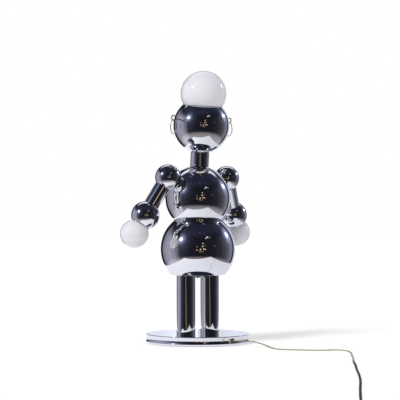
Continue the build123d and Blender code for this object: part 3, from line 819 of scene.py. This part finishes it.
for side in ("left", "right"):
    middle = ring_middles[side]
    ear_out = (middle - head_middle).normalized()
    eye_route = [middle / mm - ear_out * distance for distance in shank_points]
    for step in range(ring_points):
        angle = math.radians(ring_start + ring_step * step)
        reach = ear_out * math.cos(angle) + head_up * math.sin(angle)
        eye_route.append(middle / mm + reach * ring_radius)
    eye_line = open_spline("eye_line", eye_route)
    eye_line.data.bevel_depth = eye_wire * mm
    eye_line.data.bevel_resolution = 4
    eye_line.data.use_fill_caps = True
    screw_eye = add_piece(f"screw_eye_{side}", made_mesh(eye_line))
    set_piece(screw_eye, dark_wire, "dark_wire", "head", f"ear_eye_{side}")

    swing = joints[f"{side}_hoop_swing"]
    hoop_middle = Vector(swing["pos_m"]) - upward * hoop_drop * mm
    hoop_form = spun(hoop_outline, hoop_middle, Vector(swing["axis"]), turns=120)
    earring = add_piece(f"earring_{side}", as_mesh(hoop_form))
    set_piece(earring, pale_wire, "pale_wire", f"hoop_{side}", f"ear_hoop_{side}")

# ---- Arms and hands ----
# Each arm swings from a thick ball on the shoulder. A straight tube joins that
# ball to the hand, a thin ball with a beaded mouth for a small globe lamp.
shoulder_radius = 34.925
shoulder_wall = 3.0
arm_radius = 21.0
arm_length = 57.3
hand_radius = 38.1
hand_mouth = 27.65
pipe_angle = -math.degrees(math.acos(pipe_hole / hand_radius))
shoulder_pole = math.degrees(math.acos(pipe_hole / shoulder_radius))
shoulder_inner = shoulder_radius - shoulder_wall
inner_pole = math.degrees(math.acos(pipe_hole / shoulder_inner))
shoulder_outline = arc((0, 0), shoulder_radius, -90, shoulder_pole, 72)
shoulder_outline += arc((0, 0), shoulder_inner, inner_pole, -90, 48)
arm_start = math.sqrt(shoulder_radius**2 - (arm_radius - tube_wall) ** 2)
arm_outline = tube_outline(arm_radius, tube_wall, arm_start, arm_length)
hand_outline = cup_outline(hand_radius, hand_mouth, pipe_angle)
for side in ("left", "right"):
    body = f"arm_{side}"
    lamp_screw = joints[f"{side}_hand_lamp_screw"]
    arm_down = Vector(lamp_screw["axis"])
    shoulder = Vector(joints[f"{side}_shoulder_swing"]["pos_m"])
    hand = Vector(lamp_screw["pos_m"])

    pipe_way = bmesh.new()
    chest_way = (chest_middle - shoulder).normalized()
    drill_bit(pipe_way, shoulder, chest_way, pipe_hole, 2 * shoulder_radius)
    shoulder_form = cut_out(spun(shoulder_outline, shoulder, arm_down), pipe_way)
    shoulder_ball = add_piece(f"shoulder_{side}", shoulder_form)
    set_piece(shoulder_ball, chrome, "chrome", body, f"shoulder_ball_{side}")

    sleeve = as_mesh(spun(arm_outline, shoulder, arm_down))
    arm_sleeve = add_piece(f"arm_sleeve_{side}", sleeve)
    set_piece(arm_sleeve, chrome, "chrome", body, f"arm_tube_{side}")

    hand_cup = add_piece(f"hand_cup_{side}", as_mesh(spun(hand_outline, hand, arm_down)))
    set_piece(hand_cup, chrome, "chrome", body, f"hand_ball_{side}")

    set_lamp(
        f"fist_lamp_{side}",
        radius=38.3,
        reach=57.2,
        blend=12.0,
        tip=-17.5,
        middle=hand,
        along=arm_down,
        body=f"hand_lamp_{side}",
        glass_node=f"hand_globe_{side}",
        cap_node=f"hand_globe_cap_{side}",
    )

# ---- Lampholders ----
# Glazed white porcelain holders, screwed onto the pipe in the head and in each
# hand. The lamps' caps screw into them.
porcelain = new_finish(
    "porcelain",
    {"Coat Weight": 0.6, "Coat Roughness": 0.05, "IOR": 1.5},
    (0.84, 0.83, 0.79, 1),
    (0.78, 0.76, 0.71, 1),
    tone_scale=60.0,
    smooth=0.12,
    dull=0.25,
    marks_scale=50.0,
    relief=(220.0, 0.1, 0.0003),
)
refinish(porcelain, "head_socket", "hand_socket_left", "hand_socket_right")

# ---- Pipes, nuts, washers and seats ----
# Zinc-plated steel inside the lamp: the threaded pipes, what clamps them, and
# the domed seats and dished springs that the head and the arms turn on.
zinc_steel = new_finish(
    "zinc_steel",
    {"Metallic": 1.0},
    (0.66, 0.66, 0.64, 1),
    (0.50, 0.51, 0.52, 1),
    tone_scale=180.0,
    smooth=0.25,
    dull=0.50,
    marks_scale=220.0,
    relief=(800.0, 0.2, 0.0002),
)
refinish(
    zinc_steel,
    "leg_pipes",
    "leg_check_rings",
    "pipe_nuts",
    "pipe_washers",
    "waist_pipe",
    "chest_strap",
    "neck_seat",
    "neck_pipe",
    "head_saddle",
    "saddle_springs",
    "socket_bridge",
    "socket_nipple",
    "ear_nuts",
)
for side in ("left", "right"):
    refinish(
        zinc_steel,
        f"shoulder_seat_{side}",
        f"shoulder_pipe_{side}",
        f"shoulder_springs_{side}",
        f"arm_pipe_{side}",
        f"hand_seat_{side}",
    )

# ---- Weight, cover and felt ----
# A cast-iron disc bolted up under the base's top keeps the lamp from tipping.
# Fibreboard closes the base, and black wool felt is glued on under it.
cast_iron = new_finish(
    "cast_iron",
    {"Metallic": 0.6},
    (0.085, 0.085, 0.090, 1),
    (0.045, 0.045, 0.050, 1),
    tone_scale=70.0,
    smooth=0.45,
    dull=0.70,
    marks_scale=140.0,
    relief=(350.0, 0.7, 0.0008),
)
refinish(cast_iron, "base_weight")
fibreboard = new_finish(
    "fibreboard",
    {},
    (0.30, 0.20, 0.12, 1),
    (0.20, 0.13, 0.075, 1),
    tone_scale=260.0,
    smooth=0.70,
    dull=0.90,
    marks_scale=90.0,
    relief=(900.0, 0.4, 0.0003),
)
refinish(fibreboard, "base_cover")
felt = new_finish(
    "felt",
    {"Sheen Weight": 0.4, "Sheen Roughness": 0.5},
    (0.040, 0.042, 0.045, 1),
    (0.020, 0.021, 0.023, 1),
    tone_scale=420.0,
    smooth=0.88,
    dull=1.0,
    marks_scale=120.0,
    relief=(1600.0, 0.9, 0.0006),
)
refinish(felt, "base_felt")

# ---- Room ----
# What the chrome shows: a dark room with a pale screen behind the lamp and to
# its side, two small lamps high up and some gilt things far off.
room = bpy.data.worlds.new("room")
bpy.context.scene.world = room
room.use_nodes = True
air = room.node_tree
air.nodes.clear()
room_turn = camera_turn - math.radians(90)
direction = new_node(air, "TexCoord")
facing = new_node(
    air,
    "Mapping",
    {"vector_type": "POINT"},
    {"Vector": direction.outputs["Generated"], "Rotation": (0, 0, -room_turn)},
)
ways = new_node(air, "SeparateXYZ", inputs={"Vector": facing.outputs["Vector"]})
azimuth = new_node(
    air, "Math", {"operation": "ARCTAN2"}, {0: ways.outputs["Y"], 1: ways.outputs["X"]}
)
around = new_node(
    air,
    "MapRange",
    inputs={"Value": azimuth.outputs["Value"], "From Min": -math.pi, "From Max": math.pi},
)
# Stops run from straight behind the lamp, past its left in the view, its front
# and its right, to straight behind again. Each has a tint and a strength.
screen = (0.80, 0.84, 0.95)
plaster = (0.82, 0.81, 1.0)
darkness = (0.004, 0.004, 0.008)
wall_stops = (
    (0.000, screen, 1.0),
    (0.028, screen, 1.0),
    (0.039, darkness, 1.0),
    (0.105, darkness, 1.0),
    (0.117, plaster, 0.29),
    (0.190, plaster, 0.40),
    (0.225, plaster, 0.50),
    (0.256, plaster, 0.36),
    (0.300, plaster, 0.25),
    (0.335, plaster, 0.03),
    (0.430, darkness, 1.0),
    (0.520, darkness, 0.3),
    (0.640, darkness, 1.0),
    (0.710, plaster, 0.022),
    (0.778, plaster, 0.074),
    (0.840, plaster, 0.21),
    (0.868, plaster, 0.25),
    (0.876, darkness, 1.0),
    (0.902, darkness, 1.0),
    (0.914, screen, 0.72),
    (1.000, screen, 1.0),
)


def ramp(tree, amount, stops):
    """A colour for each amount between nought and one, from stops with a tint and a strength."""
    node = new_node(tree, "ValToRGB", inputs={"Fac": amount})
    places = node.color_ramp.elements
    while len(places) < len(stops):
        places.new(0.5)
    for element, (position, tint, strength) in zip(places, stops):
        element.position = position
        element.color = (*(Vector(tint) * strength), 1)
    return node.outputs["Color"]


def scaled(tree, tint, amount):
    """A colour, or a link that carries one, made stronger or weaker by an amount."""
    node = new_node(tree, "VectorMath", {"operation": "SCALE"}, {0: tint, "Scale": amount})
    return node.outputs["Vector"]


# The walls have upright streaks and fade out upwards. High up behind the lamp the
# screen shows again.
streaks = new_node(
    air,
    "TexNoise",
    {"noise_dimensions": "1D"},
    {"W": azimuth.outputs["Value"], "Scale": 9.0, "Detail": 3.0},
)
walls = ramp(air, around.outputs["Result"], wall_stops)
walls = scaled(air, walls, fade(air, streaks.outputs["Fac"], 0.3, 0.7, 0.75, 1.2))
walls = scaled(air, walls, fade(air, ways.outputs["Z"], 0.32, 0.62, 1.0, 0.02))
screen_top = scaled(air, screen, fade(air, ways.outputs["Z"], 0.64, 0.72))
screen_top = scaled(air, screen_top, fade(air, ways.outputs["X"], -0.48, -0.36, 1.0, 0.0))
ceiling = scaled(air, (0.009, 0.011, 0.024), fade(air, ways.outputs["Z"], 0.50, 0.80))
dimness = (0.009, 0.009, 0.012)  # all over the room
glows = [dimness, walls, screen_top, ceiling]


def toward(turn, rise):
    """The direction at this turn to the view's right and this rise, in degrees."""
    turn = math.radians(turn)
    rise = math.radians(rise)
    return (math.cos(rise) * math.cos(turn), math.cos(rise) * math.sin(turn), math.sin(rise))


def nearness(place):
    """How nearly a ray goes towards a place: one there, and less with the angle to it."""
    node = new_node(
        air, "VectorMath", {"operation": "DOT_PRODUCT"}, {0: facing.outputs["Vector"], 1: place}
    )
    return node.outputs["Value"]


# Each small lamp has a wide patchy haze, a glow and a bright core.
haze_noise = new_node(
    air, "TexNoise", inputs={"Vector": facing.outputs["Vector"], "Scale": 9.0, "Detail": 6.0}
)
haze_patches = fade(air, haze_noise.outputs["Fac"], 0.38, 0.66, 0.45, 1.5)
haze_edge = 0.50
for place in (toward(-59, 27), toward(118, 23)):
    near = new_node(
        air, "MapRange", inputs={"Value": nearness(place), "From Min": haze_edge, "From Max": 1.0}
    )
    for sharpness, tint, patches in (
        (4.0, (0.030, 0.036, 0.070), haze_patches),
        (30.0, (0.45, 0.50, 0.75), 1.0),
        (700.0, (38.0, 40.0, 46.0), 1.0),
    ):
        spot = new_node(
            air, "Math", {"operation": "POWER"}, {0: near.outputs["Result"], 1: sharpness}
        )
        glows.append(scaled(air, scaled(air, tint, spot.outputs["Value"]), patches))

# Bright flecks far off: the turn and rise to each, its width in degrees, its light.
gilt = (1.15, 0.86, 0.50)
dim_gilt = (0.30, 0.22, 0.14)
silver = (0.95, 1.0, 1.05)
ember = (0.080, 0.030, 0.026)
for turn, rise, width, tint in (
    (16, 18, 1.3, gilt),
    (14, 9, 1.5, gilt),
    (18, 1, 1.6, gilt),
    (8, 0, 1.5, gilt),
    (23, 0, 1.3, gilt),
    (15, -7, 1.6, dim_gilt),
    (7, -6, 2.4, dim_gilt),
    (-3, 8, 1.5, dim_gilt),
    (-3, -2, 2.2, dim_gilt),
    (21, 11, 1.4, dim_gilt),
    (53, 9, 1.3, dim_gilt),
    (28, 33, 1.3, silver),
    (34, 36, 1.8, silver),
    (41, 34, 1.0, silver),
    (8, 53, 2.0, ember),
    (-12, 48, 1.2, ember),
    (30, 50, 1.5, ember),
):
    outside = math.cos(math.radians(1.6 * width))
    inside = math.cos(math.radians(0.6 * width))
    glows.append(scaled(air, tint, fade(air, nearness(toward(turn, rise)), outside, inside)))
reflected = glows[0]
for glow in glows[1:]:
    added = new_node(air, "VectorMath", {"operation": "ADD"}, {0: reflected, 1: glow})
    reflected = added.outputs["Vector"]

soft_light = new_node(air, "Background", inputs={"Color": (0.47, 0.47, 0.48, 1)})
shown_room = new_node(air, "Background", inputs={"Color": reflected})
backdrop = new_node(air, "Background", inputs={"Color": (1, 1, 1, 1)})
rays = new_node(air, "LightPath")


def mixed(tree, amount, first, second):
    """One shader, or another where the amount is one."""
    shaders = {"Fac": amount, 1: first.outputs[0], 2: second.outputs[0]}
    return new_node(tree, "MixShader", inputs=shaders)


lit = mixed(air, rays.outputs["Is Glossy Ray"], soft_light, shown_room)
seen = mixed(air, rays.outputs["Is Camera Ray"], lit, backdrop)
new_node(air, "OutputWorld", inputs={"Surface": seen.outputs[0]})

# ---- Table ----
# A plain white table that runs on as far as the view. The chrome shows where it
# ends: a front edge half a metre before the lamp and two sides that run back.


def add_plane(name, half_side, height):
    """A level square about the lamp, in metres, with the empty node tree of its material."""
    form = bmesh.new()
    bmesh.ops.create_grid(form, x_segments=1, y_segments=1, size=half_side)
    bmesh.ops.translate(form, vec=(0, 0, height), verts=form.verts)
    plane = bpy.data.objects.new(name, as_mesh(form))
    bpy.context.scene.collection.objects.link(plane)
    material = bpy.data.materials.new(f"{name}_finish")
    material.use_nodes = True
    material.node_tree.nodes.clear()
    plane.data.materials.append(material)
    return plane, material.node_tree


table, top = add_plane("table", 12.0, 0.0)
squared = new_node(
    top,
    "Mapping",
    {"vector_type": "POINT"},
    {"Vector": new_node(top, "TexCoord").outputs["Object"], "Rotation": (0, 0, -room_turn)},
)
table_ways = new_node(top, "SeparateXYZ", inputs={"Vector": squared.outputs["Vector"]})

# Each edge is a line across the table, with its slope, its offset in metres and
# the mask before it and beyond it.
edge_blur = 0.006
on_table = 1.0
for along, across, slope, offset, before, beyond in (
    ("Y", "X", 0.12, 0.50, 1.0, 0.0),
    ("X", "Y", 0.06, -0.43, 0.0, 1.0),
    ("X", "Y", -0.10, 0.49, 1.0, 0.0),
):
    measured = new_node(
        top,
        "Math",
        {"operation": "MULTIPLY_ADD"},
        {0: table_ways.outputs[along], 1: -slope, 2: table_ways.outputs[across]},
    )
    mask = fade(top, measured.outputs["Value"], offset, offset + edge_blur, before, beyond)
    both = new_node(top, "Math", {"operation": "MULTIPLY"}, {0: on_table, 1: mask})
    on_table = both.outputs["Value"]

# The chrome sees a bright top as far as these edges, a glow with painted light falloff:
# brighter towards the view's left and dimmer towards its right. The camera sees white
# paint with a little light of its own.
painted_table_falloff = fade(top, table_ways.outputs["Y"], -0.5, 0.5, 1.08, 0.85)
bright_top = new_node(
    top, "Emission", inputs={"Color": scaled(top, (0.88, 0.885, 0.96), painted_table_falloff)}
)
past_edge = new_node(top, "BsdfTransparent")
mirrored = mixed(top, on_table, past_edge, bright_top)
paint = new_node(top, "BsdfDiffuse", inputs={"Color": (0.95, 0.95, 0.95, 1)})
white_glow = new_node(top, "Emission", inputs={"Color": (1, 1, 1, 1), "Strength": 5.3})
glow_share = 0.05
brightened = mixed(top, glow_share, paint, white_glow)
table_rays = new_node(top, "LightPath")
to_camera = mixed(top, table_rays.outputs["Is Camera Ray"], paint, brightened)
to_chrome = mixed(top, table_rays.outputs["Is Glossy Ray"], to_camera, mirrored)
new_node(top, "OutputMaterial", inputs={"Surface": to_chrome.outputs[0]})

# The room's own floor shows only in the chrome. Its light near the table is painted: a glow
# that fades out between 1.5 and 3 metres from the lamp.
room_floor, boards = add_plane("room_floor", 6.0, -0.74)
away = new_node(
    boards,
    "VectorMath",
    {"operation": "LENGTH"},
    {0: new_node(boards, "TexCoord").outputs["Object"]},
)
painted_floor_light = fade(boards, away.outputs["Value"], 1.5, 3.0, 1.0, 0.0)
painted_glow_floor = new_node(
    boards, "Emission", inputs={"Color": scaled(boards, (0.30, 0.27, 0.27), painted_floor_light)}
)
see_past = new_node(boards, "BsdfTransparent")
over_dark = new_node(
    boards, "AddShader", inputs={0: painted_glow_floor.outputs[0], 1: see_past.outputs[0]}
)
new_node(boards, "OutputMaterial", inputs={"Surface": over_dark.outputs[0]})
room_floor.visible_camera = False
room_floor.visible_diffuse = False
room_floor.visible_shadow = False

# ---- Light ----
# A broad soft light from the front left of the view and a weaker one from behind
# its right, which the chrome doesn't show, and the pale air all round.
for name, energy, turn, rise, width, shadow in (
    ("soft_sun", 1.5, -45, 45, 20, True),
    ("edge_sun", 0.9, 128, 15, 40, False),
):
    sun_data = bpy.data.lights.new(name, "SUN")
    sun_data.energy = energy
    sun_data.angle = math.radians(width)
    sun_data.use_shadow = shadow
    sun = bpy.data.objects.new(name, sun_data)
    sun_way = Matrix.Rotation(room_turn, 3, "Z") @ Vector(toward(turn, rise))
    sun.rotation_euler = sun_way.to_track_quat("Z", "Y").to_euler()
    sun.visible_glossy = False
    bpy.context.scene.collection.objects.link(sun)
bpy.context.scene.view_settings.view_transform = "Standard"
